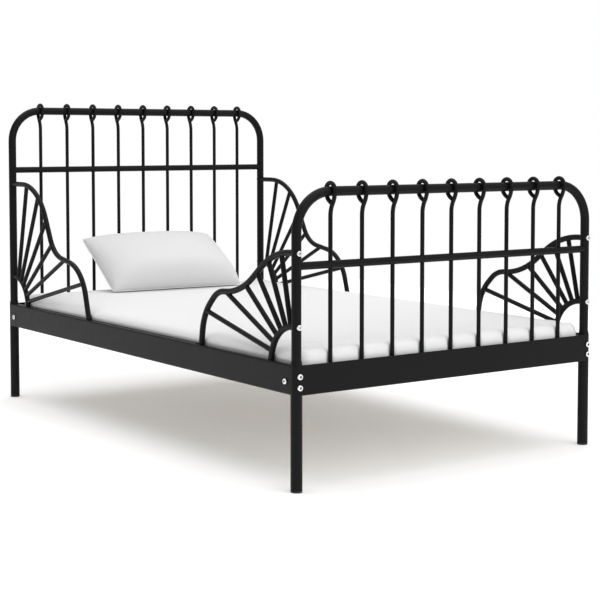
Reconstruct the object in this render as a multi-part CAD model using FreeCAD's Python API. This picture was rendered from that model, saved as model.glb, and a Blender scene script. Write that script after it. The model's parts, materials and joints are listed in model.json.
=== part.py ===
import FreeCAD, Part
import math
import os

# Toddler bed in black steel tube that pulls out as the child grows. It is shown
# at its shortest. Millimetres. X runs across the bed, the head end is at +Y and
# +Z is up. The origin is on the floor under the middle of the bed. Left and
# right are as seen when looking from the foot end to the head end.

# ---- driving dimensions ------------------------------------------------------

# the two end frames
post_x = 400.0              # legs and posts, either side of the middle
end_y = 667.0               # the plane of each end frame, from the middle
leg_diameter = 24.0
leg_wall = 1.7
leg_top = 252.0
leg_shoulder = 10.0         # the leg's rolled-in top edge
leg_mouth_diameter = 20.9
cap_height = 4.0
cap_plug_height = 22.0
cap_edge_radius = 1.2
hoop_diameter = 20.0
hoop_wall = 1.5
hoop_corner_radius = 81.0
hoop_socket_bottom = 150.0  # how far down the hoop reaches into the legs
foot_hoop_z = 595.0
head_hoop_z = 774.0
foot_crossbar_z = 449.0
head_crossbar_z = 615.0
crossbar_diameter = 16.0
crossbar_wall = 1.3
rod_diameter = 9.0
rod_count = 9
rod_spacing = 79.3
eye_radius = 15.0           # centre line of the loop that a rod makes round the hoop
eye_rise = 1.5              # centre of that loop above the hoop's centre
eye_bend_start = 50.0       # below the hoop's centre
eye_tail_radius = 25.5
eye_tail_turn = 62.0        # degrees
eye_tail_run = 5.0

# sheet steel: side rails and end plates
steel = 2.0
bend_radius = 3.5           # outside of a bend
rail_bottom = 194.0
rail_top = 254.0
rail_outer_x = post_x + leg_diameter / 2
rail_flange = 48.0
rail_lip = 20.0
rail_lip_left_over = 4.0    # where the lip is cut back for the sliding guards
rail_lip_cut_y = -290.0
rail_gap = 0.7              # between the two rails that slide in one another
slot_clearance = 0.5        # round the lock bolts, on the radius
outer_rail_foot_y = -650.0  # where all but its web stops
leg_clearance = 0.3         # on the radius, where the outer rail ends at the foot's leg
inner_rail_head_y = 648.0
tab_inner_x = 388.0
plate_bottom = 193.3
plate_flange = 22.0
extension = 700.0           # how far the bed pulls out

# guards
guard_diameter = 13.0
guard_wall = 1.5
spoke_diameter = 10.6
arc_radius = 79.5
arc_z = 328.5
arc_start_y = 658.0

# fasteners
lock_bolt_foot_y = -646.0
lock_bolt_head_y = 640.0
lock_bolt_z = 220.0
lock_bolt_diameter = 6.0
lock_head_diameter = 12.0
lock_head_height = 3.5
lock_key_flats = 5.0
lock_nut_flats = 10.0
lock_nut_height = 5.0
lock_bolt_end = 1.0         # thread that shows past the nut
leg_bolt_heights = (231.5, 209.5)
leg_bolt_diameter = 6.0
leg_head_diameter = 12.0
leg_head_height = 3.5
leg_key_flats = 5.0
leg_nut_flats = 10.0
leg_nut_height = 5.0
leg_bolt_end = 2.0
screw_diameter = 5.0
screw_head_diameter = 11.5
screw_head_height = 3.0
screw_key_flats = 3.0
screw_length = 27.0
insert_diameter = 9.3
insert_length = 6.0
insert_set_back = 1.0       # from the post's surface
hole_clearance = 0.2        # on the radius
weld_gap = 0.05             # on the radius, between parts welded together
head_rounding = 0.45        # of a bolt head's height
key_depth = 0.75            # of a bolt head's height
nut_turned_width = 1.1      # of a nut's width over its flats
nut_chamfer = 0.15          # of a nut's height

# slatted base
slat_count = 14
slat_length = 790.0
slat_width = 70.0
slat_thickness = 9.0
slat_edge_radius = 3.0
slat_end_y = 605.0
slat_bottom = 199.2
strap_x = 250.0
strap_width = 25.0
strap_thickness = 1.2
strap_gap = 0.1

# mattress and pillow, as plain closed solids
mattress_half_width = 388.0
mattress_half_length = 646.0
mattress_bottom = 208.6
mattress_top = 280.0
mattress_corner_radius = 45.0
mattress_edge_radius = 24.0
pillow_width = 380.0
pillow_height = 185.0
pillow_thickness = 50.0
pillow_edge_radius = 24.0
pillow_lean = 39.8          # degrees up from lying flat
pillow_middle = FreeCAD.Vector(8.0, 566.0, 350.0)

# The guards' outer tubes, as corners (distance from the middle of the bed,
# height) with the radius of the bend at each corner between the first and last.
foot_guard_corners = ((589.0, 474.4), (467.0, 381.1), (374.6, 375.4), (318.7, 322.6))
foot_guard_radii = (179.5, 189.0, 66.7, 110.0)
foot_guard_end_y = 307.8
head_guard_corners = ((510.3, 577.7), (418.0, 402.1), (260.4, 376.7), (241.6, 310.3))
head_guard_radii = (155.5, 86.0, 106.5, 138.0)
head_guard_end_y = 224.8

# Each guard's spokes fan out evenly from one centre (distance from the middle
# of the bed, height) and run from the inner arc to the outer tube.
spoke_count = 6
foot_fan_centre = (665.0, 253.5)
head_fan_centre = (653.0, 249.5)
spoke_reach = 450.0         # drawn this long, then cut to the tubes

nothing = 0.01              # lengths below this count as none

# ---- plain helpers -----------------------------------------------------------

up = FreeCAD.Vector(0, 0, 1)
across = FreeCAD.Vector(1, 0, 0)
middle = FreeCAD.Vector(0, 0, 0)


def save(shape, node):
    """Write one node, and stop if any of its solids is broken."""
    for solid in shape.Solids:
        if not solid.isValid() or solid.Volume <= 0:
            raise ValueError(node)
    shape.exportStep("parts/" + node + ".step")


def save_group(shapes, node):
    save(Part.makeCompound(shapes), node)


def mirrored(shape):
    """The same piece on the other side of the bed."""
    return shape.mirror(middle, across)


def save_both_sides(shape_on_right, name):
    save(shape_on_right, name + "_right")
    save(mirrored(shape_on_right), name + "_left")


def bar(start, end, diameter):
    """Round solid bar between two points."""
    run = end.sub(start)
    return Part.makeCylinder(diameter / 2, run.Length, start, run)


def box(low, high):
    size = high.sub(low)
    return Part.makeBox(size.x, size.y, size.z, low)


def bend_at(before, corner, after, radius):
    """Start, middle and end of the arc that rounds one corner of a path."""
    back = before.sub(corner).normalize()
    ahead = after.sub(corner).normalize()
    half_angle = back.getAngle(ahead) / 2
    setback = radius / math.tan(half_angle)
    to_centre = back.add(ahead).normalize()
    to_middle = radius / math.sin(half_angle) - radius
    return (corner.add(back.multiply(setback)),
            corner.add(to_centre.multiply(to_middle)),
            corner.add(ahead.multiply(setback)))


def bent_path(points, radii):
    """Wire of straight runs joined by tangent arcs; one radius for each inner point."""
    edges = []
    last = points[0]
    for before, corner, after, radius in zip(points, points[1:], points[2:], radii):
        start, mid, end = bend_at(before, corner, after, radius)
        if start.sub(last).Length > nothing:
            edges.append(Part.LineSegment(last, start).toShape())
        edges.append(Part.Arc(start, mid, end).toShape())
        last = end
    if points[-1].sub(last).Length > nothing:
        edges.append(Part.LineSegment(last, points[-1]).toShape())
    return Part.Wire(edges)


def outline(points, radii, direction):
    """Solid with a closed outline whose corners are rounded where a radius is given."""
    edges = []
    ends = []
    count = len(points)
    for i in range(count):
        corner = points[i]
        if radii[i] > 0:
            start, mid, end = bend_at(points[i - 1], corner, points[(i + 1) % count], radii[i])
            edges.append(Part.Arc(start, mid, end).toShape())
            ends.append((start, end))
        else:
            ends.append((corner, corner))
    for i in range(count):
        edges.append(Part.LineSegment(ends[i - 1][1], ends[i][0]).toShape())
    wire = Part.Wire(Part.__sortEdges__(edges))
    return Part.Face(wire).extrude(direction)


def swept(path, diameter):
    """Round bar along a wire."""
    first = path.OrderedEdges[0]
    start = first.valueAt(first.FirstParameter)
    along = first.tangentAt(first.FirstParameter)
    if path.OrderedVertexes[0].Point.sub(start).Length > nothing:
        start = first.valueAt(first.LastParameter)
        along = first.tangentAt(first.LastParameter)
    ring = Part.Wire(Part.makeCircle(diameter / 2, start, along))
    return path.makePipeShell([ring], True, False)


def tube(path, diameter, wall):
    """Round tube along a wire, open at both ends."""
    return swept(path, diameter).cut(swept(path, diameter - 2 * wall))


def folded(along, low, high, outer_face, profile, radii):
    """Folded sheet with one section, running from low to high on the axis along.

    The section's points are (distance inwards from outer_face, height).
    """
    points = []
    for inward, height in profile:
        level = outer_face - inward
        if along == "y":
            points.append(FreeCAD.Vector(level, low, height))
        else:
            points.append(FreeCAD.Vector(low, level, height))
    run = FreeCAD.Vector(0, high - low, 0) if along == "y" else FreeCAD.Vector(high - low, 0, 0)
    return outline(points, radii, run)


def channel(low, high, outer_face, lip, flange, bottom, top):
    """C-section along Y: a web with a lip at its top and a flange at its foot."""
    inside = bend_radius - steel
    profile = ((0, bottom), (flange, bottom), (flange, bottom + steel), (steel, bottom + steel),
               (steel, top - steel), (lip, top - steel), (lip, top), (0, top))
    return folded("y", low, high, outer_face, profile,
                  (bend_radius, 0, 0, inside, inside, 0, 0, bend_radius))


def angle(low, high, outer_face, flange, bottom, top):
    """L-section along X: a web with a flange at its foot."""
    profile = ((0, bottom), (flange, bottom), (flange, bottom + steel), (steel, bottom + steel),
               (steel, top), (0, top))
    return folded("x", low, high, outer_face, profile,
                  (bend_radius, 0, 0, bend_radius - steel, 0, 0))


def hexagon(centre, direction, flats, height):
    """Hexagonal prism standing on centre along direction."""
    prism = Part.Face(Part.makePolygon([
        FreeCAD.Vector(flats / math.sqrt(3) * math.cos(math.radians(60 * i)),
                       flats / math.sqrt(3) * math.sin(math.radians(60 * i)), 0)
        for i in range(7)])).extrude(FreeCAD.Vector(0, 0, height))
    prism.Placement = FreeCAD.Placement(centre, FreeCAD.Rotation(up, direction))
    return prism


def bolt(seat, direction, diameter, length, head_diameter, head_height, key_flats):
    """Button-head bolt: its head's underside is on seat, its shank runs along direction."""
    top = seat.sub(direction * head_height)
    head = Part.makeCylinder(head_diameter / 2, head_height, top, direction)
    rim = [edge for edge in head.Edges
           if edge.Closed and edge.BoundBox.Center.sub(top).Length < nothing]
    head = head.makeFillet(head_height * head_rounding, rim)
    head = head.cut(hexagon(top, direction, key_flats, head_height * key_depth))
    shank = Part.makeCylinder(diameter / 2, length, seat, direction)
    return head.fuse(shank).removeSplitter()


def nut(start, direction, flats, height, bore):
    """Hexagon nut standing on start along direction, with its corners turned off."""
    blank = hexagon(start, direction, flats, height)
    turned = Part.makeCylinder(flats / 2 * nut_turned_width, height, start, direction)
    rims = [edge for edge in turned.Edges if edge.Closed]
    turned = turned.makeChamfer(height * nut_chamfer, rims)
    hole = Part.makeCylinder(bore / 2, height, start, direction)
    return blank.common(turned).cut(hole)


# ---- end frames --------------------------------------------------------------
# end is +1 for the head frame and -1 for the foot frame.

def post_point(side, end, height):
    return FreeCAD.Vector(side * post_x, end * end_y, height)


def post_holes(side, end, heights, diameter):
    """Bars that cut the holes for bolts that go through a post along Y."""
    reach = FreeCAD.Vector(0, end * leg_diameter, 0)
    holes = []
    for height in heights:
        centre = post_point(side, end, height)
        holes.append(bar(centre.add(reach), centre.sub(reach), diameter + 2 * hole_clearance))
    return holes


def leg_bolt_holes(side, end):
    return post_holes(side, end, leg_bolt_heights, leg_bolt_diameter)


def guard_screw_heights(end):
    corners = head_guard_corners if end > 0 else foot_guard_corners
    return (corners[0][1], arc_z)


def guard_screw_holes(side, end):
    return post_holes(side, end, guard_screw_heights(end), screw_diameter)


def make_hoop(end):
    """The tall bent tube of one end. Its ends stand inside the two legs."""
    top = head_hoop_z if end > 0 else foot_hoop_z
    path = bent_path([post_point(-1, end, hoop_socket_bottom), post_point(-1, end, top),
                      post_point(1, end, top), post_point(1, end, hoop_socket_bottom)],
                     [hoop_corner_radius, hoop_corner_radius])
    hoop = tube(path, hoop_diameter, hoop_wall)
    for side in (-1, 1):
        for hole in leg_bolt_holes(side, end) + guard_screw_holes(side, end):
            hoop = hoop.cut(hole)
    return hoop


def make_leg(side, end):
    """Leg tube with a rolled-in top edge that grips the hoop."""
    radius = leg_diameter / 2
    mouth = leg_mouth_diameter / 2
    bore = radius - leg_wall
    grip = hoop_diameter / 2 + weld_gap
    grip_bottom = leg_top - leg_shoulder
    top = leg_top + leg_shoulder
    section = Part.makePolygon([
        FreeCAD.Vector(bore, 0, cap_height), FreeCAD.Vector(radius, 0, cap_height),
        FreeCAD.Vector(radius, 0, leg_top), FreeCAD.Vector(mouth, 0, top),
        FreeCAD.Vector(grip, 0, top), FreeCAD.Vector(grip, 0, grip_bottom),
        FreeCAD.Vector(bore, 0, grip_bottom), FreeCAD.Vector(bore, 0, cap_height)])
    leg = Part.Face(section).revolve(middle, up, 360)
    leg.translate(post_point(side, end, 0))
    for hole in leg_bolt_holes(side, end):
        leg = leg.cut(hole)
    return leg


def make_cap(side, end):
    """Plastic foot: a disc under the leg with a plug that goes up into it."""
    disc = Part.makeCylinder(leg_diameter / 2, cap_height)
    lower_rim = [edge for edge in disc.Edges if edge.Closed and edge.BoundBox.ZMax < nothing]
    disc = disc.makeFillet(cap_edge_radius, lower_rim)
    plug = Part.makeCylinder(leg_diameter / 2 - leg_wall - weld_gap, cap_height + cap_plug_height)
    hollow = Part.makeCylinder(leg_diameter / 2 - 2 * leg_wall, cap_plug_height,
                               FreeCAD.Vector(0, 0, cap_height + leg_wall))
    cap = disc.fuse(plug.cut(Part.makeCylinder(leg_diameter, cap_height / 2))).cut(hollow)
    cap.translate(post_point(side, end, 0))
    return cap


def make_plate(end):
    """Folded plate between the two legs of one end, tangent to their outer side."""
    plate = angle(-post_x, post_x, end_y + leg_diameter / 2, plate_flange, plate_bottom, rail_top)
    if end < 0:
        plate = plate.mirror(middle, FreeCAD.Vector(0, 1, 0))
    for side in (-1, 1):
        leg = bar(post_point(side, end, 0), post_point(side, end, leg_top + leg_shoulder),
                  leg_diameter + 2 * weld_gap)
        beyond = box(FreeCAD.Vector(post_x, -2 * end_y, 0),
                     FreeCAD.Vector(2 * post_x, 2 * end_y, 2 * leg_top))
        plate = plate.cut(leg)
        plate = plate.cut(beyond if side > 0 else mirrored(beyond))
        for hole in leg_bolt_holes(side, end):
            plate = plate.cut(hole)
    return max(plate.Solids, key=lambda solid: solid.Volume)


def rod_places():
    return [rod_spacing * (i - (rod_count - 1) / 2) for i in range(rod_count)]


def make_crossbar(end):
    """Level tube between the posts, drilled for the rods."""
    height = head_crossbar_z if end > 0 else foot_crossbar_z
    path = Part.Wire(Part.makeLine(post_point(-1, end, height), post_point(1, end, height)))
    crossbar = tube(path, crossbar_diameter, crossbar_wall)
    for x in rod_places():
        rod = bar(FreeCAD.Vector(x, end * end_y, height - crossbar_diameter),
                  FreeCAD.Vector(x, end * end_y, height + crossbar_diameter),
                  rod_diameter + 2 * weld_gap)
        crossbar = crossbar.cut(rod)
    for side in (-1, 1):
        post = bar(post_point(side, end, height - leg_diameter),
                   post_point(side, end, height + leg_diameter), hoop_diameter + 2 * weld_gap)
        crossbar = crossbar.cut(post)
    return max(crossbar.Solids, key=lambda solid: solid.Volume)


def make_rod(x, end):
    """Upright rod that stands on the plate's flange, swings out, loops over the hoop
    and runs back on itself."""
    hoop_z = head_hoop_z if end > 0 else foot_hoop_z
    eye_z = hoop_z + eye_rise
    bend_z = hoop_z - eye_bend_start
    rise = eye_z - bend_z
    turn = 2 * math.atan(eye_radius / rise)
    sway_radius = rise / (2 * math.sin(turn))

    def at(outward, height):
        return FreeCAD.Vector(x, end * (end_y + outward), height)

    def first_sway(angle):
        return at(sway_radius * (1 - math.cos(angle)), bend_z + sway_radius * math.sin(angle))

    def second_sway(angle):
        return at(eye_radius - sway_radius * (1 - math.cos(angle)), eye_z - sway_radius * math.sin(angle))

    def tail(angle):
        return at(eye_tail_radius * (1 - math.cos(angle)) - eye_radius,
                  eye_z - eye_tail_radius * math.sin(angle))

    shaft = Part.Wire([
        Part.LineSegment(at(0, plate_bottom + steel), at(0, bend_z)).toShape(),
        Part.Arc(at(0, bend_z), first_sway(turn / 2), first_sway(turn)).toShape(),
        Part.Arc(first_sway(turn), second_sway(turn / 2), at(eye_radius, eye_z)).toShape(),
        Part.Arc(at(eye_radius, eye_z), at(0, eye_z + eye_radius), at(-eye_radius, eye_z)).toShape()])
    tail_turn = math.radians(eye_tail_turn)
    tail_end = tail(tail_turn).add(FreeCAD.Vector(0, end * eye_tail_run * math.sin(tail_turn),
                                                  -eye_tail_run * math.cos(tail_turn)))
    return_run = Part.Wire([
        Part.Arc(at(-eye_radius, eye_z), tail(tail_turn / 2), tail(tail_turn)).toShape(),
        Part.LineSegment(tail(tail_turn), tail_end).toShape()])
    return swept(shaft, rod_diameter).fuse(swept(return_run, rod_diameter))


def make_end_frame(end, name):
    save(make_hoop(end), name + "_hoop")
    save(make_plate(end), name + "_plate")
    save(make_crossbar(end), name + "_crossbar")
    save_group([make_rod(x, end) for x in rod_places()], name + "_rods")
    save_both_sides(make_leg(1, end), name + "_leg")
    save_both_sides(make_cap(1, end), name + "_leg_cap")


# ---- side rails --------------------------------------------------------------

def make_outer_rail():
    """Right rail of the head section. Only its web runs all the way to the legs, and its
    lip is cut back where the foot guards slide."""
    head_face = end_y - leg_diameter / 2
    rail = channel(-end_y, end_y, rail_outer_x, rail_lip, rail_flange, rail_bottom, rail_top)
    for low_y, high_y, bottom in ((-end_y, rail_lip_cut_y, rail_top - steel - rail_gap / 2),
                                  (-end_y, outer_rail_foot_y, rail_bottom), (head_face, end_y, rail_bottom)):
        rail = rail.cut(box(FreeCAD.Vector(rail_outer_x - rail_flange, low_y, bottom),
                            FreeCAD.Vector(rail_outer_x - rail_lip_left_over, high_y, rail_top)))
    for end, clearance in ((1, weld_gap), (-1, leg_clearance)):
        rail = rail.cut(bar(post_point(1, end, 0), post_point(1, end, rail_top + steel),
                            leg_diameter + 2 * clearance))
    tab = box(FreeCAD.Vector(tab_inner_x, head_face - steel, rail_bottom),
              FreeCAD.Vector(rail_outer_x - steel, head_face, rail_top - steel))
    rail = rail.fuse(tab)
    for y in (lock_bolt_foot_y, lock_bolt_head_y):
        hole = bar(FreeCAD.Vector(rail_outer_x + steel, y, lock_bolt_z),
                   FreeCAD.Vector(rail_outer_x - 2 * steel, y, lock_bolt_z),
                   lock_bolt_diameter + 2 * hole_clearance)
        rail = rail.cut(hole)
    for hole in leg_bolt_holes(1, 1):
        rail = rail.cut(hole)
    return rail.removeSplitter()


def make_inner_rail():
    """Right rail of the foot section. It slides inside the outer rail, past the lock bolts."""
    foot_face = leg_diameter / 2 - end_y
    outer_face = rail_outer_x - steel - rail_gap
    bottom = rail_bottom + steel + rail_gap
    top = rail_top - steel - rail_gap
    inset = steel + rail_gap
    rail = channel(foot_face, inner_rail_head_y, outer_face,
                   rail_lip - inset, rail_flange - inset, bottom, top)
    tab = box(FreeCAD.Vector(tab_inner_x, foot_face, bottom),
              FreeCAD.Vector(outer_face - steel, foot_face + steel, top - steel))
    slot_radius = lock_bolt_diameter / 2 + slot_clearance
    slot_high_y = lock_bolt_foot_y + extension
    web = (FreeCAD.Vector(outer_face - 2 * steel, 0, 0), FreeCAD.Vector(outer_face + steel, 0, 0))
    slot = box(FreeCAD.Vector(web[0].x, lock_bolt_foot_y, lock_bolt_z - slot_radius),
               FreeCAD.Vector(web[1].x, slot_high_y, lock_bolt_z + slot_radius))
    for y in (lock_bolt_foot_y, slot_high_y, lock_bolt_head_y):
        slot = slot.fuse(bar(FreeCAD.Vector(web[0].x, y, lock_bolt_z),
                             FreeCAD.Vector(web[1].x, y, lock_bolt_z), 2 * slot_radius))
    slot = slot.fuse(box(FreeCAD.Vector(web[0].x, lock_bolt_head_y, lock_bolt_z - slot_radius),
                         FreeCAD.Vector(web[1].x, inner_rail_head_y + steel, lock_bolt_z + slot_radius)))
    rail = rail.fuse(tab).cut(slot)
    for hole in leg_bolt_holes(1, -1):
        rail = rail.cut(hole)
    return rail.removeSplitter()


# ---- guards ------------------------------------------------------------------
# All are made for the right side. end is +1 for the head guard, -1 for the foot.

def guard_point(end, place):
    """place is (distance from the middle of the bed, height)."""
    return FreeCAD.Vector(post_x, end * place[0], place[1])


def guard_bottom(end):
    """The lip that the guard stands on."""
    return rail_top if end > 0 else rail_top - steel - rail_gap


def guard_tube_path(end):
    corners = head_guard_corners if end > 0 else foot_guard_corners
    radii = head_guard_radii if end > 0 else foot_guard_radii
    last_y = head_guard_end_y if end > 0 else foot_guard_end_y
    places = [(end_y, corners[0][1])] + list(corners) + [(last_y, guard_bottom(end))]
    return bent_path([guard_point(end, place) for place in places], radii)


def guard_arc_path(end):
    """Quarter turn from the post down to the rail, drawn a little past the rail's lip."""
    low = arc_z - arc_radius
    diagonal = arc_radius * math.sqrt(0.5)
    stub = Part.LineSegment(guard_point(end, (end_y, arc_z)), guard_point(end, (arc_start_y, arc_z)))
    turn = Part.Arc(guard_point(end, (arc_start_y, arc_z)),
                    guard_point(end, (arc_start_y - diagonal, low + diagonal)),
                    guard_point(end, (arc_start_y - arc_radius, low)))
    return Part.Wire([stub.toShape(), turn.toShape()])


def post_cutter(end):
    return bar(post_point(1, end, rail_bottom), post_point(1, end, head_hoop_z),
               hoop_diameter + 2 * weld_gap)


def below_rail(end):
    return box(FreeCAD.Vector(0, -2 * end_y, 0), FreeCAD.Vector(2 * post_x, 2 * end_y, guard_bottom(end)))


def beyond_post(end):
    low = min(end * end_y, end * 2 * end_y)
    return box(FreeCAD.Vector(0, low, 0), FreeCAD.Vector(2 * post_x, low + end_y, 2 * head_hoop_z))


def trimmed_tube(path, end):
    """A guard tube, saddle-cut to the post and cut level with the rail's lip."""
    piece = tube(path, guard_diameter, guard_wall)
    piece = piece.cut(post_cutter(end)).cut(beyond_post(end)).cut(below_rail(end))
    return max(piece.Solids, key=lambda solid: solid.Volume)


def make_spokes(end):
    centre = head_fan_centre if end > 0 else foot_fan_centre
    outer = swept(guard_tube_path(end), guard_diameter + 2 * weld_gap)
    inner = swept(guard_arc_path(end), guard_diameter + 2 * weld_gap)
    spokes = []
    for i in range(spoke_count):
        lean = math.radians(90.0 * (i + 1) / (spoke_count + 1))
        start, finish = [
            guard_point(end, (centre[0] - reach * math.sin(lean), centre[1] + reach * math.cos(lean)))
            for reach in (arc_radius, spoke_reach)]
        pieces = bar(start, finish, spoke_diameter).cut(outer).cut(inner).cut(post_cutter(end)).Solids
        whole = [piece for piece in pieces if piece.Volume > guard_diameter ** 3]
        spokes.append(min(whole, key=lambda piece: piece.CenterOfMass.sub(start).Length))
    return spokes


def make_insert(end, height):
    """Threaded plug in the end of a guard tube, for the screw through the post."""
    start = guard_point(end, (end_y - hoop_diameter / 2 - insert_set_back, height))
    inward = FreeCAD.Vector(0, -end, 0)
    plug = Part.makeCylinder(insert_diameter / 2, insert_length, start, inward)
    return plug.cut(Part.makeCylinder(screw_diameter / 2, insert_length, start, inward))


def make_guard(end, name):
    save_both_sides(trimmed_tube(guard_tube_path(end), end), name + "_guard_tube")
    save_both_sides(trimmed_tube(guard_arc_path(end), end), name + "_guard_arc")
    save_both_sides(Part.makeCompound(make_spokes(end)), name + "_guard_spokes")
    inserts = [make_insert(end, height) for height in guard_screw_heights(end)]
    save_group(inserts + [mirrored(insert) for insert in inserts], name + "_guard_inserts")


# ---- fasteners ---------------------------------------------------------------

def make_leg_bolts(end):
    """Two bolts through each leg into the rail's end tab, with their nuts."""
    inward = FreeCAD.Vector(0, -end, 0)
    tab_face = end_y - leg_diameter / 2 - steel
    length = leg_diameter + steel + leg_nut_height + leg_bolt_end
    bolts = []
    nuts = []
    for side in (-1, 1):
        for height in leg_bolt_heights:
            seat = FreeCAD.Vector(side * post_x, end * (end_y + leg_diameter / 2), height)
            bolts.append(bolt(seat, inward, leg_bolt_diameter, length,
                              leg_head_diameter, leg_head_height, leg_key_flats))
            nuts.append(nut(FreeCAD.Vector(side * post_x, end * tab_face, height), inward,
                            leg_nut_flats, leg_nut_height, leg_bolt_diameter))
    return bolts, nuts


def make_guard_screws(end):
    inward = FreeCAD.Vector(0, -end, 0)
    screws = []
    for side in (-1, 1):
        for height in guard_screw_heights(end):
            seat = FreeCAD.Vector(side * post_x, end * (end_y + hoop_diameter / 2), height)
            screws.append(bolt(seat, inward, screw_diameter, screw_length,
                               screw_head_diameter, screw_head_height, screw_key_flats))
    return screws


def make_lock_bolts():
    """Bolts through the outer rail that clamp the inner one, with their nuts."""
    nut_start = rail_outer_x - 2 * steel - 2 * rail_gap
    length = rail_outer_x - nut_start + lock_nut_height + lock_bolt_end
    bolts = []
    nuts = []
    for side in (-1, 1):
        inward = FreeCAD.Vector(-side, 0, 0)
        for y in (lock_bolt_foot_y, lock_bolt_head_y):
            bolts.append(bolt(FreeCAD.Vector(side * rail_outer_x, y, lock_bolt_z), inward,
                              lock_bolt_diameter, length, lock_head_diameter, lock_head_height,
                              lock_key_flats))
            nuts.append(nut(FreeCAD.Vector(side * nut_start, y, lock_bolt_z), inward,
                            lock_nut_flats, lock_nut_height, lock_bolt_diameter))
    return bolts, nuts


# ---- slatted base ------------------------------------------------------------

def make_slat(y):
    slat = box(FreeCAD.Vector(-slat_length / 2, y - slat_width / 2, slat_bottom),
               FreeCAD.Vector(slat_length / 2, y + slat_width / 2, slat_bottom + slat_thickness))
    long_edges = [edge for edge in slat.Edges if edge.Length > slat_length - 1]
    return slat.makeFillet(slat_edge_radius, long_edges)


def slat_places():
    """Slat 1 is nearest the head."""
    spacing = 2 * slat_end_y / (slat_count - 1)
    return [slat_end_y - spacing * i for i in range(slat_count)]


def make_strap():
    """Elastic strap under the slats that keeps them evenly spaced as the bed pulls out."""
    reach = slat_end_y + slat_width / 2 - slat_edge_radius
    top = slat_bottom - strap_gap
    return box(FreeCAD.Vector(strap_x - strap_width / 2, -reach, top - strap_thickness),
               FreeCAD.Vector(strap_x + strap_width / 2, reach, top))


# ---- soft goods --------------------------------------------------------------

def make_mattress():
    corners = [FreeCAD.Vector(x, y, mattress_bottom) for x, y in (
        (-mattress_half_width, -mattress_half_length), (mattress_half_width, -mattress_half_length),
        (mattress_half_width, mattress_half_length), (-mattress_half_width, mattress_half_length))]
    block = outline(corners, [mattress_corner_radius] * 4,
                    FreeCAD.Vector(0, 0, mattress_top - mattress_bottom))
    level_edges = [edge for edge in block.Edges if edge.BoundBox.ZLength < nothing]
    return block.makeFillet(mattress_edge_radius, level_edges)


def make_pillow():
    size = FreeCAD.Vector(pillow_width, pillow_height, pillow_thickness)
    pillow = box(size * -0.5, size * 0.5)
    pillow = pillow.makeFillet(pillow_edge_radius, pillow.Edges)
    pillow.Placement = FreeCAD.Placement(pillow_middle, FreeCAD.Rotation(across, pillow_lean))
    return pillow


# ---- write the parts ---------------------------------------------------------

os.makedirs("parts", exist_ok=True)

for end_side, end_name in ((1, "head"), (-1, "foot")):
    make_end_frame(end_side, end_name)
    make_guard(end_side, end_name)
    leg_bolts, leg_nuts = make_leg_bolts(end_side)
    save_group(leg_bolts, end_name + "_leg_bolts")
    save_group(leg_nuts, end_name + "_leg_nuts")
    save_group(make_guard_screws(end_side), end_name + "_guard_screws")

save_both_sides(make_outer_rail(), "outer_rail")
save_both_sides(make_inner_rail(), "inner_rail")
lock_bolts, lock_nuts = make_lock_bolts()
save_group(lock_bolts, "rail_lock_bolts")
save_group(lock_nuts, "rail_lock_nuts")

for slat_index, slat_y in enumerate(slat_places()):
    save(make_slat(slat_y), "slat_%02d" % (slat_index + 1))
save_both_sides(make_strap(), "slat_strap")

save(make_mattress(), "mattress")
save(make_pillow(), "pillow")
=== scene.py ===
import json
import math

import bpy
import numpy as np
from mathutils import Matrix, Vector


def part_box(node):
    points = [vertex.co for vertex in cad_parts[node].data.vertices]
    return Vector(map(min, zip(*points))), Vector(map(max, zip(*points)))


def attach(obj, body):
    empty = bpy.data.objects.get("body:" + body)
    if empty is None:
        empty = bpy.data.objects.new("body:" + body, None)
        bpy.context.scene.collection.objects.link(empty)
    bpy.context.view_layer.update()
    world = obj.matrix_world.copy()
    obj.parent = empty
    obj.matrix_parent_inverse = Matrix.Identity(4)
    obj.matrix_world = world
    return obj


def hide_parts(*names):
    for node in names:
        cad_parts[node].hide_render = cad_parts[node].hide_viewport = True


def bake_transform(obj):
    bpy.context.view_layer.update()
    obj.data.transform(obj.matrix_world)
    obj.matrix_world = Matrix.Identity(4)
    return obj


# The looks of the toddler bed. Metres, in the frame of the CAD model: X runs
# across the bed, the head end is at +Y and +Z is up.

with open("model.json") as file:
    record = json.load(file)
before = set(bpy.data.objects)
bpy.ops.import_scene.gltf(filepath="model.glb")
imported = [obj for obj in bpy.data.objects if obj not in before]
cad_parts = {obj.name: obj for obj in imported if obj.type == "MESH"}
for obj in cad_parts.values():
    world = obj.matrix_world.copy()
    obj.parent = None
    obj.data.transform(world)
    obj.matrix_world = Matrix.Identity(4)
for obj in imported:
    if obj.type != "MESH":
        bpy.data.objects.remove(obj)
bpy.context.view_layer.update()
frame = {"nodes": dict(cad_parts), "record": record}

# ---- places, from the frame ----------------------------------------------------

slat_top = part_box("slat_01")[1].z
rail_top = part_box("outer_rail_right")[1].z
hoop_low, hoop_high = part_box("foot_hoop")
end_y = -(hoop_low.y + hoop_high.y) / 2
guard_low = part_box("foot_guard_tube_right")[0]
guard_inner_x = guard_low.x
guard_diameter = 0.013
rod_diameter = 0.009
rod_low, rod_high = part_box("foot_rods")
rods_each_side = 4                         # of the middle rod
rod_spacing = (rod_high.x - rod_low.x - rod_diameter) / (2 * rods_each_side)
rod_inner_y = end_y - rod_diameter / 2

# ---- camera ----------------------------------------------------------------------


def make_camera():
    """A long lens just below the head end's height, off the bed's foot left corner."""
    data = bpy.data.cameras.new("camera")
    data.sensor_width = 36.0
    data.lens = 88.42
    data.shift_x = -0.00725
    data.shift_y = -0.12
    camera = bpy.data.objects.new("camera", data)
    camera.location = (-2.0513, -3.0296, 0.6989)
    pitch_down, turn_right = 3.463, 35.263   # degrees, from looking level at the head end
    camera.rotation_euler = (math.radians(90 - pitch_down), 0, math.radians(-turn_right))
    bpy.context.scene.collection.objects.link(camera)
    bpy.context.scene.camera = camera


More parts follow.
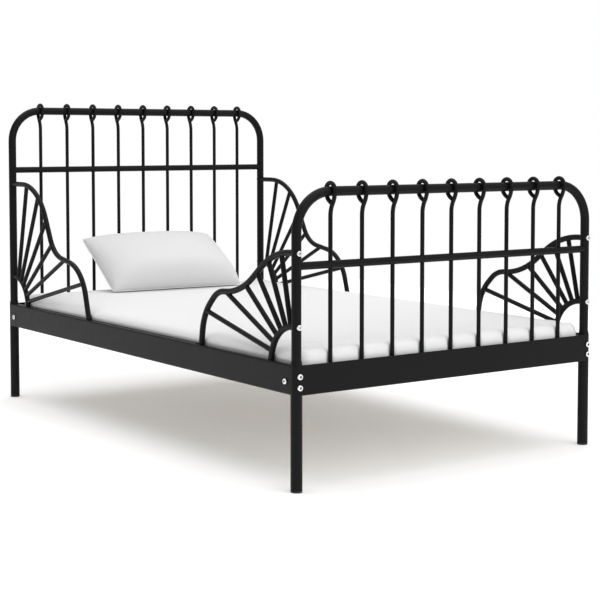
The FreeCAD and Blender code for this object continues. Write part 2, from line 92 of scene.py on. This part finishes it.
make_camera()

# ---- materials -------------------------------------------------------------------


class Finish:
    """One procedural material: a principled shader, and short ways to build on it."""

    def __init__(self, name, base_color, roughness, **uniform):
        self.material = bpy.data.materials.new(name)
        self.material.use_nodes = True
        self.tree = self.material.node_tree
        self.shader = self.tree.nodes["Principled BSDF"]
        self.feed(self.shader.inputs["Base Color"], (*base_color, 1.0))
        self.feed(self.shader.inputs["Roughness"], roughness)
        for socket, value in uniform.items():
            self.feed(self.shader.inputs[socket.replace("_", " ")], value)
        coordinates = self.tree.nodes.new("ShaderNodeTexCoord")
        self.place = coordinates.outputs["Object"]
        self.facing = coordinates.outputs["Normal"]

    def feed(self, socket, value):
        """Give a socket a plain value, or what another node puts out."""
        if isinstance(value, bpy.types.NodeSocket):
            self.tree.links.new(value, socket)
        else:
            socket.default_value = value

    def add(self, kind, inputs, output=0, **settings):
        node = self.tree.nodes.new(kind)
        for name, value in settings.items():
            setattr(node, name, value)
        for socket, value in inputs.items():
            self.feed(node.inputs[socket], value)
        return node.outputs[output]

    def stretched(self, scale):
        return self.add("ShaderNodeMapping", {"Vector": self.place, "Scale": scale})

    def noise(self, scale, detail=3.0, roughness=0.5, distortion=0.0):
        """Cloudy pattern; scale is how many features a metre along X, Y and Z."""
        return self.add("ShaderNodeTexNoise", {
            "Vector": self.stretched(scale), "Scale": 1.0, "Detail": detail,
            "Roughness": roughness, "Distortion": distortion})

    def math(self, operation, first, second=0.0, third=0.0):
        return self.add("ShaderNodeMath", {0: first, 1: second, 2: third}, operation=operation)

    def span(self, value, low, high):
        """Spread a pattern that runs from 0 to 1 over low to high."""
        return self.add("ShaderNodeMapRange", {"Value": value, "To Min": low, "To Max": high})

    def blend(self, factor, first, second):
        """A colour between two colours or outputs."""
        node = self.tree.nodes.new("ShaderNodeMix")
        node.data_type = "RGBA"
        for socket, value in (("Factor_Float", factor), ("A_Color", first), ("B_Color", second)):
            if not isinstance(value, (bpy.types.NodeSocket, float)):
                value = (*value, 1.0)
            target = next(s for s in node.inputs if s.identifier == socket)
            self.feed(target, value)
        return next(s for s in node.outputs if s.identifier == "Result_Color")

    def bump(self, height, distance, strength=1.0):
        """Relief on the surface; heights run from 0 to 1 and distance is in metres."""
        normal = self.shader.inputs["Normal"]
        inputs = {"Height": height, "Distance": distance, "Strength": strength}
        if normal.is_linked:
            inputs["Normal"] = normal.links[0].from_socket
        self.feed(normal, self.add("ShaderNodeBump", inputs))

    def color(self, value):
        self.feed(self.shader.inputs["Base Color"], value)

    def roughness(self, value):
        self.feed(self.shader.inputs["Roughness"], value)


def powder_coat():
    """Satin black powder coat on steel: a fine orange peel and slightly uneven gloss."""
    finish = Finish("powder_coat", (0.005, 0.005, 0.0051), 0.38, Specular_IOR_Level=0.125)
    finish.color(finish.blend(finish.noise((9, 9, 9)), (0.004, 0.004, 0.0041), (0.006, 0.006, 0.0061)))
    finish.roughness(finish.span(finish.noise((55, 55, 55), detail=5.0), 0.31, 0.45))
    finish.bump(finish.noise((900, 900, 900), detail=1.0), 0.00001, 0.4)
    return finish.material


def zinc_plate():
    """Bright zinc on turned steel: fine scratches, a faint cloudiness, and painted shade in the
    recesses.
    """
    finish = Finish("zinc_plate", (0.86, 0.86, 0.85), 0.28, Metallic=1.0)
    cloud = finish.noise((260, 260, 260), detail=4.0)
    # Painted shade: ambient occlusion, raised to a power of 3, measures how open the surface is, and
    # closed-in recesses such as the key sockets are painted near black.
    shade_openness = finish.add("ShaderNodeAmbientOcclusion", {"Distance": 0.003}, output="AO")
    shade_openness = finish.math("POWER", shade_openness, 3.0)
    plated = finish.blend(cloud, (0.80, 0.80, 0.79), (0.95, 0.95, 0.94))
    finish.color(finish.blend(shade_openness, (0.04, 0.04, 0.04), plated))
    finish.roughness(finish.span(cloud, 0.2, 0.38))
    finish.bump(finish.noise((3000, 3000, 500), detail=2.0), 0.00003, 0.5)
    return finish.material


def foot_plastic():
    """Moulded black plastic with a fine spark-eroded grain."""
    finish = Finish("foot_plastic", (0.014, 0.014, 0.014), 0.6)
    grain = finish.noise((1600, 1600, 1600), detail=3.0)
    finish.roughness(finish.span(grain, 0.5, 0.7))
    finish.bump(grain, 0.00008, 0.6)
    return finish.material


def slat_wood():
    """Clear-lacquered birch veneers: grain along the slat, layers along its edges."""
    finish = Finish("slat_wood", (0.62, 0.45, 0.28), 0.42)
    streaks = finish.noise((2.5, 110, 110), detail=6.0, roughness=0.62, distortion=0.6)
    bands = finish.noise((1.2, 16, 16), detail=2.0, distortion=1.5)
    face = finish.blend(streaks, (0.52, 0.465, 0.39), (0.69, 0.64, 0.565))
    face = finish.blend(finish.span(bands, 0.0, 0.45), face, (0.57, 0.515, 0.44))
    height = finish.add("ShaderNodeSeparateXYZ", {"Vector": finish.place}, output="Z")
    veneer_pair = 0.003
    layer = finish.math("SINE", finish.math("MULTIPLY", height, 2 * math.pi / veneer_pair))
    edge = finish.blend(finish.span(layer, 0.2, 0.8), (0.34, 0.24, 0.15), (0.60, 0.49, 0.36))
    up = finish.add("ShaderNodeSeparateXYZ", {"Vector": finish.facing}, output="Z")
    facing_up = 0.6
    on_edge = finish.math("LESS_THAN", finish.math("ABSOLUTE", up), facing_up)
    finish.color(finish.blend(on_edge, face, edge))
    finish.roughness(finish.span(streaks, 0.34, 0.52))
    finish.bump(streaks, 0.0001, 0.5)
    return finish.material


def ribs(finish, output, pitch):
    """Rounded ribs across one axis, from 0 to 1."""
    level = finish.add("ShaderNodeSeparateXYZ", {"Vector": finish.place}, output=output)
    wave = finish.math("SINE", finish.math("MULTIPLY", level, 2 * math.pi / pitch))
    return finish.math("MULTIPLY_ADD", wave, 0.5, 0.5)


def elastic_webbing():
    """Off-white woven elastic: fine cords along it and ribs across it."""
    finish = Finish("elastic_webbing", (0.74, 0.72, 0.67), 0.85)
    cord_pitch, weft_pitch = 0.0026, 0.0018
    cords = finish.math("ABSOLUTE", finish.math("SUBTRACT", ribs(finish, "X", cord_pitch), 0.5))
    weft = finish.math("ABSOLUTE", finish.math("SUBTRACT", ribs(finish, "Y", weft_pitch), 0.5))
    weave = finish.math("MULTIPLY", cords, weft)
    finish.color(finish.blend(finish.noise((300, 60, 60)), (0.66, 0.64, 0.59), (0.80, 0.78, 0.74)))
    finish.bump(weave, 0.0006, 0.8)
    return finish.material


def cotton(name, light, shade, thread_pitch):
    """White cotton cover: a plain weave on every side, with faint slubs in the threads."""
    finish = Finish(name, light, 0.9, Sheen_Weight=0.12, Sheen_Roughness=0.5,
                    Specular_IOR_Level=0.25)
    facing = finish.tree.nodes.new("ShaderNodeSeparateXYZ")
    finish.feed(facing.inputs["Vector"], finish.facing)
    waves = {axis: ribs(finish, axis, thread_pitch) for axis in "XYZ"}
    weave = 0.0
    for axis, (first, second) in {"X": "YZ", "Y": "ZX", "Z": "XY"}.items():
        share = finish.math("ABSOLUTE", facing.outputs[axis])
        crossing = finish.math("MULTIPLY", waves[first], waves[second])
        weave = finish.math("ADD", finish.math("MULTIPLY", crossing, share), weave)
    slubs = finish.noise((420, 420, 420), detail=2.0)
    finish.color(finish.blend(finish.noise((14, 14, 14), detail=4.0), shade, light))
    finish.bump(weave, 0.00035, 0.35)
    finish.bump(slubs, 0.0003, 0.25)
    return finish.material


def thread(name, color):
    """Twisted sewing thread or piping."""
    finish = Finish(name, color, 0.85, Sheen_Weight=0.2)
    finish.bump(finish.noise((900, 900, 900), detail=2.0), 0.0003, 0.6)
    return finish.material


finishes = {
    "black_steel": powder_coat(),
    "zinc_steel": zinc_plate(),
    "foot_plastic": foot_plastic(),
    "slat_wood": slat_wood(),
    "elastic_strap": elastic_webbing(),
    "mattress_cover": cotton("mattress_cover", (0.78, 0.78, 0.78), (0.76, 0.76, 0.762), 0.0011),
    "pillow_cover": cotton("pillow_cover", (0.71, 0.71, 0.71), (0.69, 0.69, 0.692), 0.0009),
}
seam_thread = thread("seam_thread", (0.78, 0.78, 0.775))

for subpart in frame["record"]["subparts"]:
    cad_object = frame["nodes"][subpart["node"]]
    cad_object.data.materials.clear()
    cad_object.data.materials.append(finishes[subpart["material_slot"]])

# ---- mesh helpers ----------------------------------------------------------------

tiny = 1e-9                                # keeps a length of nothing from dividing


def new_piece(name, points, faces, slot, body=None):
    """A smooth-shaded mesh piece in the row frame, with the finish of a record slot."""
    mesh = bpy.data.meshes.new(name)
    mesh.from_pydata([tuple(p) for p in points], [], faces)
    mesh.polygons.foreach_set("use_smooth", [True] * len(mesh.polygons))
    mesh.materials.append(finishes[slot])
    piece = bpy.data.objects.new(name, mesh)
    bpy.context.scene.collection.objects.link(piece)
    if body:
        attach(piece, body)
    return piece


def points_of(piece):
    points = np.zeros(len(piece.data.vertices) * 3)
    piece.data.vertices.foreach_get("co", points)
    return points.reshape(-1, 3)


def move_points(piece, points):
    piece.data.vertices.foreach_set("co", points.ravel())
    piece.data.update()


def ease(value, low, high):
    """0 below low, 1 above high, and a smooth step between."""
    share = np.clip((value - low) / (high - low), 0.0, 1.0)
    return share * share * (3 - 2 * share)


def box_shell(counts):
    """The lattice points and quads on the surface of a box of so many cells."""
    index = {}
    faces = []
    for axis in range(3):
        first, second = (axis + 1) % 3, (axis + 2) % 3
        for side in (0, counts[axis]):
            for i in range(counts[first]):
                for j in range(counts[second]):
                    face = []
                    for step_i, step_j in ((0, 0), (1, 0), (1, 1), (0, 1)):
                        place = [side] * 3
                        place[first] = i + step_i
                        place[second] = j + step_j
                        face.append(index.setdefault(tuple(place), len(index)))
                    faces.append(face if side else face[::-1])
    return np.array(list(index), float), faces


def rounded(points, half, corner_radius, edge_radius):
    """Round a block's upright corners, and then its level edges.

    Both radii are given for each point, and the edges' are the smaller ones.
    """
    inner = np.clip(points[:, :2], corner_radius[:, None] - half[:2], half[:2] - corner_radius[:, None])
    outward = points[:, :2] - inner
    reach = np.abs(outward).max(1)
    outward /= np.maximum(np.linalg.norm(outward, axis=1), tiny)[:, None]
    over_side = np.maximum(reach - (corner_radius - edge_radius), 0.0)
    over_top = np.maximum(np.abs(points[:, 2]) - (half[2] - edge_radius), 0.0)
    shrink = np.maximum(over_side, over_top) / np.maximum(np.hypot(over_side, over_top), tiny)
    reach = reach - over_side * (1 - shrink)
    height = np.abs(points[:, 2]) - over_top * (1 - shrink)
    return np.column_stack([inner + outward * reach[:, None], np.sign(points[:, 2]) * height])


def simulate(piece, pinned, pressure, frames, tension, bending, spare=0.0):
    """Fill a closed piece with air and return where its points come to rest.

    spare is how much larger than the piece its cloth is cut, as a share.
    """
    group = piece.vertex_groups.new(name="pinned")
    group.add([int(i) for i in np.flatnonzero(pinned)], 1.0, "REPLACE")
    cloth = piece.modifiers.new("cloth", "CLOTH")
    cloth.point_cache.frame_end = frames
    settings = cloth.settings
    settings.quality = 6
    settings.mass = 0.3
    settings.tension_stiffness = tension
    settings.compression_stiffness = tension
    settings.shear_stiffness = tension / 3
    settings.bending_stiffness = bending
    settings.shrink_min = -spare
    settings.use_pressure = True
    settings.uniform_pressure_force = pressure
    settings.effector_weights.gravity = 0.0
    settings.vertex_group_mass = group.name
    cloth.collision_settings.use_collision = False
    scene = bpy.context.scene
    for step in range(1, frames + 1):
        scene.frame_set(step)
    settled = piece.evaluated_get(bpy.context.evaluated_depsgraph_get())
    points = np.array([vertex.co for vertex in settled.data.vertices])
    piece.modifiers.remove(cloth)
    piece.vertex_groups.remove(group)
    scene.frame_set(1)
    return points


def subdivide(piece, levels=1):
    """Add a smooth subdivision and keep its mesh."""
    modifier = piece.modifiers.new("smooth", "SUBSURF")
    modifier.levels = levels
    modifier.render_levels = levels
    evaluated = piece.evaluated_get(bpy.context.evaluated_depsgraph_get())
    mesh = bpy.data.meshes.new_from_object(evaluated)
    piece.modifiers.remove(modifier)
    piece.data = mesh


def welt(name, loop, radius, body):
    """A sewn edge along a closed line of points."""
    curve = bpy.data.curves.new(name, "CURVE")
    curve.dimensions = "3D"
    curve.bevel_depth = radius
    curve.bevel_resolution = 2
    spline = curve.splines.new("POLY")
    spline.points.add(len(loop) - 1)
    spline.points.foreach_set("co", np.column_stack([loop, np.ones(len(loop))]).ravel())
    spline.use_cyclic_u = True
    drawn = bpy.data.objects.new(name, curve)
    bpy.context.scene.collection.objects.link(drawn)
    mesh = bpy.data.meshes.new_from_object(drawn.evaluated_get(bpy.context.evaluated_depsgraph_get()))
    bpy.data.objects.remove(drawn)
    piece = bpy.data.objects.new(name, mesh)
    bpy.context.scene.collection.objects.link(piece)
    mesh.materials.clear()
    mesh.materials.append(seam_thread)
    mesh.polygons.foreach_set("use_smooth", [True] * len(mesh.polygons))
    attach(piece, body)


# ---- mattress --------------------------------------------------------------------

mattress_cell = 0.010
foot_corner = 0.037
head_corner = 0.052
mattress_top_edge = 0.021
mattress_foot_edge = 0.010
mattress_rest = slat_top + 0.0004          # its underside
mattress_crown = 0.2795                    # its top before it swells
mattress_swell = 0.004
side_above_rail = 0.3985                   # half its width where it swells over the rails' lips
side_at_guard = guard_inner_x - 0.0007
side_below_lip = 0.3905
foot_between_rods = 0.6720                 # how far its foot end swells out
foot_at_rod = rod_inner_y - 0.0007
head_reach = 0.6520
tab_x = 0.386                              # the rails' end tabs reach inwards to here
end_at_tab = 0.6455
crease_inset = 0.046                       # from the mattress's foot end to the crease behind it
crease_width = 0.015
crease_depth = 0.0030
crease_at_rod = 0.0050                     # how much deeper it is beside each rod
roll_inset = crease_inset / 3
roll_height = 0.0016
guard_dent = 0.0060                        # where a guard's foot presses into the side
guard_dent_width = 0.024
guard_hold = 0.012                         # how far along the bed a guard's foot holds the side in
guard_hold_end = 0.030
lip_below, lip_above = 0.0010, 0.0035      # the side swells out over the lip between these
rod_dent_end = 0.0125                      # a rod's dent in the foot end reaches this far from it
rod_crease_end = 0.024
tab_blend = 0.006
resting_height = 0.0005                    # points this near its underside stay on the slats


def near(values, places, inner, outer):
    """1 within inner of the nearest place, 0 beyond outer, and a smooth step between."""
    gap = np.min([np.abs(values - place) for place in places], axis=0)
    return 1 - ease(gap, inner, outer)


def beside_rods(points, reach):
    rods = [rod_spacing * i for i in range(-rods_each_side, rods_each_side + 1)]
    return near(points[:, 0], rods, rod_diameter / 2, reach)


def guard_feet():
    """Where the guards' tubes and arcs stand on the rails, along the bed."""
    feet = []
    for part in ("tube", "arc"):
        feet.append(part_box(f"foot_guard_{part}_right")[1].y - guard_diameter / 2)
        feet.append(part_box(f"head_guard_{part}_right")[0].y + guard_diameter / 2)
    return feet


def side_limit(points):
    """How far out the mattress may reach across the bed: guards dent it, rails hold it in."""
    held = near(points[:, 1], guard_feet(), guard_hold, guard_hold_end)
    above = side_above_rail - (side_above_rail - side_at_guard) * held
    over_lip = ease(points[:, 2], rail_top - lip_below, rail_top + lip_above)
    return side_below_lip + (above - side_below_lip) * over_lip


def end_limit(points):
    """How far along the bed it may reach: rods dent it, and the rails' tabs hold its corners."""
    held = beside_rods(points, rod_dent_end)
    at_foot = foot_between_rods - (foot_between_rods - foot_at_rod) * held
    limit = np.where(points[:, 1] < 0, at_foot, head_reach)
    at_tab = ease(np.abs(points[:, 0]), tab_x - tab_blend, tab_x) * (points[:, 2] < rail_top)
    return limit - (limit - end_at_tab) * at_tab


def bell(value, width):
    return np.exp(-(value / width) ** 2)


def top_relief(points):
    """How the top rises: a roll along the foot end, a crease behind it, dents at the guards."""
    from_foot = points[:, 1] + foot_between_rods
    depth = crease_depth + crease_at_rod * beside_rods(points, rod_crease_end)
    relief = bell(from_foot - roll_inset, crease_width) * roll_height
    relief -= bell(from_foot - crease_inset, crease_width) * depth
    from_side = side_above_rail - np.abs(points[:, 0])
    for foot in guard_feet():
        along = points[:, 1] - foot
        relief -= bell(along, guard_dent_width) * bell(from_side, guard_dent_width) * guard_dent
    return relief * ease(points[:, 2], mattress_crown - mattress_top_edge, mattress_crown)


def make_mattress():
    """Foam mattress in a cotton cover: swollen by its filling, held in by the frame."""
    half = np.array([side_above_rail, (head_reach + foot_between_rods) / 2,
                     (mattress_crown - mattress_rest) / 2])
    middle = np.array([0.0, (head_reach - foot_between_rods) / 2, mattress_rest + half[2]])
    counts = [max(2, round(2 * size / mattress_cell)) for size in half]
    lattice, faces = box_shell(counts)
    points = (lattice / counts * 2 - 1) * half
    corner_radius = np.where(points[:, 1] > 0, head_corner, foot_corner)
    edge_radius = np.where(points[:, 2] > 0, mattress_top_edge, mattress_foot_edge)
    points = rounded(points, half, corner_radius, edge_radius) + middle
    mattress = new_piece("mattress_cushion", points, faces, "mattress_cover")
    resting = points[:, 2] < mattress_rest + resting_height
    settled = simulate(mattress, resting, pressure=4.0, frames=16, tension=40.0, bending=8.0)
    shift = settled - points
    length = np.linalg.norm(shift, axis=1)
    shift *= (np.minimum(length, mattress_swell) / np.maximum(length, tiny))[:, None]
    move_points(mattress, points + shift)
    subdivide(mattress)
    points = points_of(mattress)
    points[:, 2] += top_relief(points)
    for axis, limit in ((0, side_limit(points)), (1, end_limit(points))):
        points[:, axis] = np.clip(points[:, axis], -limit, limit)
    points[:, 2] = np.maximum(points[:, 2], mattress_rest)
    move_points(mattress, points)
    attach(mattress, "mattress")
    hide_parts("mattress")


# ---- pillow ----------------------------------------------------------------------

pillow_cut = (0.420, 0.250)                # its cover laid flat, across and up
pillow_cell = 0.005
pillow_front = 0.077                       # its fullness in front of its seam and behind it
pillow_back = 0.042
pillow_belly = -0.48                       # where it is thickest, from -1 at its lower edge to 1
edge_pull = 0.018                          # how far its sides draw in between its corners
top_bow = 0.030                            # how far its filling pushes its top edge up
corner_pull = 0.020                        # how far its corners are rounded off
corner_sharpness = 6
side_roundness = 2.6                       # 2 is an ellipse across, more is flatter
pillow_above_mattress = 0.0035
pillow_off_rods = 0.0015
pillow_seam_radius = 0.0012
# Where its four corners lie: lower left, lower right, upper left, upper right.
pillow_corners = np.array([[-0.190, 0.498, 0.2870], [0.209, 0.475, 0.2870],
                           [-0.206, 0.652, 0.4225], [0.205, 0.650, 0.4210]])


def pillow_case():
    """Two flat panels sewn together round their edge: points, faces and the seam."""
    columns, rows = (round(size / pillow_cell) for size in pillow_cut)
    index = {}
    points = []

    def at(i, j, panel):
        on_seam = i in (0, columns) or j in (0, rows)
        key = (i, j, 0 if on_seam else panel)
        if key not in index:
            index[key] = len(points)
            points.append([(i / columns - 0.5) * pillow_cut[0], (j / rows - 0.5) * pillow_cut[1],
                           key[2] * pillow_cell / 2])
        return index[key]

    faces = []
    for panel in (1, -1):
        for i in range(columns):
            for j in range(rows):
                face = [at(i, j, panel), at(i + 1, j, panel),
                        at(i + 1, j + 1, panel), at(i, j + 1, panel)]
                faces.append(face if panel > 0 else face[::-1])
    seam = [at(i, 0, 1) for i in range(columns)] + [at(columns, j, 1) for j in range(rows)]
    seam += [at(i, rows, 1) for i in range(columns, 0, -1)] + [at(0, j, 1) for j in range(rows, 0, -1)]
    return np.array(points), faces, seam


def crown(points):
    """The stuffed shape: sides drawn in between rounded corners, and a full middle."""
    half = np.array(pillow_cut) / 2
    share = points[:, :2] / half
    other = share[:, ::-1]
    pull = np.full_like(share, edge_pull)
    pull[share[:, 1] > 0, 1] = -top_bow
    pull = pull * (1 - other ** 2) * share ** 2
    pull += corner_pull * np.abs(share * other) ** corner_sharpness
    above_belly = share[:, 1] - pillow_belly
    above_belly /= 1 - pillow_belly * np.sign(above_belly)
    across = np.maximum(1 - np.abs(share[:, 0]) ** side_roundness, 0.0)
    upward = np.maximum(1 - above_belly ** 2, 0.0)
    rise = np.sqrt(across * upward)
    fullness = np.select([points[:, 2] > 0, points[:, 2] < 0], [pillow_front, -pillow_back])
    return np.column_stack([points[:, :2] * (1 - pull), rise * fullness])


def laid_on_headboard(points):
    """Move the pillow from its own plane to its four corners, as a slightly twisted sheet."""
    across, up = (points[:, :2] / pillow_cut + 0.5).T[:, :, None]
    lower = pillow_corners[0] * (1 - across) + pillow_corners[1] * across
    upper = pillow_corners[2] * (1 - across) + pillow_corners[3] * across
    along_x = pillow_corners[1] - pillow_corners[0]
    along_y = pillow_corners[2] - pillow_corners[0]
    out = np.cross(along_x, along_y)
    out /= np.linalg.norm(out)
    return lower * (1 - up) + upper * up + points[:, 2:] * out


def make_pillow():
    """Stuffed cotton pillow that leans back on the headboard's rods."""
    points, faces, seam = pillow_case()
    points = crown(points)
    pillow = new_piece("pillow_cushion", points, faces, "pillow_cover")
    sewn = np.isin(np.arange(len(points)), seam)
    points = simulate(pillow, sewn, pressure=3.0, frames=16, tension=15.0, bending=6.0, spare=0.002)
    points[:, 2] *= (pillow_front + pillow_back) / np.ptp(points[:, 2])
    points = laid_on_headboard(points)
    points[:, 2] = np.maximum(points[:, 2], mattress_crown + pillow_above_mattress)
    points[:, 1] = np.minimum(points[:, 1], rod_inner_y - pillow_off_rods)
    move_points(pillow, points)
    loop = points[seam]
    subdivide(pillow)
    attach(pillow, "pillow")
    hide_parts("pillow")
    welt("pillow_seam", loop, pillow_seam_radius, "pillow")


# ---- slat straps -----------------------------------------------------------------

strap_rows = 160                           # of faces along a strap


def make_strap(side):
    """Woven elastic strap under the slats, built as a fixed mesh over the CAD strap's length; the real
    one stretches as the bed pulls out, but nothing here stretches this one.
    """
    name = "slat_strap_" + side
    low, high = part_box(name)
    middle_x = (low.x + high.x) / 2
    half_width = (high.x - low.x) / 2
    edge = (high.z - low.z) / 2
    section = [(-half_width + edge, low.z), (half_width - edge, low.z), (half_width, low.z + edge),
               (half_width - edge, high.z), (-half_width + edge, high.z), (-half_width, low.z + edge)]
    points = []
    for row in range(strap_rows + 1):
        y = low.y + (high.y - low.y) * row / strap_rows
        points += [(middle_x + x, y, z) for x, z in section]
    count = len(section)
    faces = [[row * count + k, row * count + (k + 1) % count,
              (row + 1) * count + (k + 1) % count, (row + 1) * count + k]
             for row in range(strap_rows) for k in range(count)]
    faces += [list(range(count))[::-1], [strap_rows * count + k for k in range(count)]]
    strap = new_piece(name + "_webbing", points, faces, "elastic_strap")
    strap.data.polygons.foreach_set("use_smooth", [False] * len(strap.data.polygons))
    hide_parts(name)
    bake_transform(strap)


# ---- floor and light ---------------------------------------------------------------


def make_floor():
    """A floor of its own size, pale enough to melt into the white around it."""
    finish = Finish("pale_floor", (0.95, 0.95, 0.95), 0.9, Specular_IOR_Level=0.0,
                    Emission_Color=(1.0, 1.0, 1.0, 1.0), Emission_Strength=0.12)
    finish.color(finish.blend(finish.noise((3, 3, 3)), (0.945, 0.945, 0.945), (0.955, 0.955, 0.955)))
    half_x, half_y = 2.4, 2.8
    mesh = bpy.data.meshes.new("floor")
    corners = [(-half_x, -half_y, 0), (half_x, -half_y, 0), (half_x, half_y, 0), (-half_x, half_y, 0)]
    mesh.from_pydata(corners, [], [(0, 1, 2, 3)])
    mesh.materials.append(finish.material)
    floor = bpy.data.objects.new("floor", mesh)
    bpy.context.scene.collection.objects.link(floor)


def make_soft_light(name, azimuth, elevation, spread, strength):
    """Light from far away over a wide patch of sky; azimuth is clockwise from the head end."""
    data = bpy.data.lights.new(name, "SUN")
    data.angle = math.radians(spread)
    data.energy = strength
    light = bpy.data.objects.new(name, data)
    turn, rise = math.radians(azimuth), math.radians(elevation)
    level = math.cos(rise)
    towards_light = Vector((math.sin(turn) * level, math.cos(turn) * level, math.sin(rise)))
    light.rotation_euler = towards_light.to_track_quat("Z", "Y").to_euler()
    bpy.context.scene.collection.objects.link(light)


def light_studio():
    """White all round to the camera, softer as light, with two wide patches of sky."""
    world = bpy.data.worlds.new("studio")
    world.use_nodes = True
    background = world.node_tree.nodes["Background"]
    background.inputs["Color"].default_value = (1.0, 1.0, 1.0, 1.0)
    light_path = world.node_tree.nodes.new("ShaderNodeLightPath")
    brightness = world.node_tree.nodes.new("ShaderNodeMapRange")
    brightness.inputs["To Min"].default_value = 0.6
    brightness.inputs["To Max"].default_value = 1.0
    world.node_tree.links.new(light_path.outputs["Is Camera Ray"], brightness.inputs["Value"])
    world.node_tree.links.new(brightness.outputs["Result"], background.inputs["Strength"])
    bpy.context.scene.world = world
    make_soft_light("overhead", azimuth=0, elevation=82, spread=70, strength=1.45)
    make_soft_light("front", azimuth=172, elevation=34, spread=60, strength=1.05)
    bpy.context.scene.view_settings.view_transform = "Standard"


make_mattress()
make_pillow()
for side in ("left", "right"):
    make_strap(side)
make_floor()
light_studio()
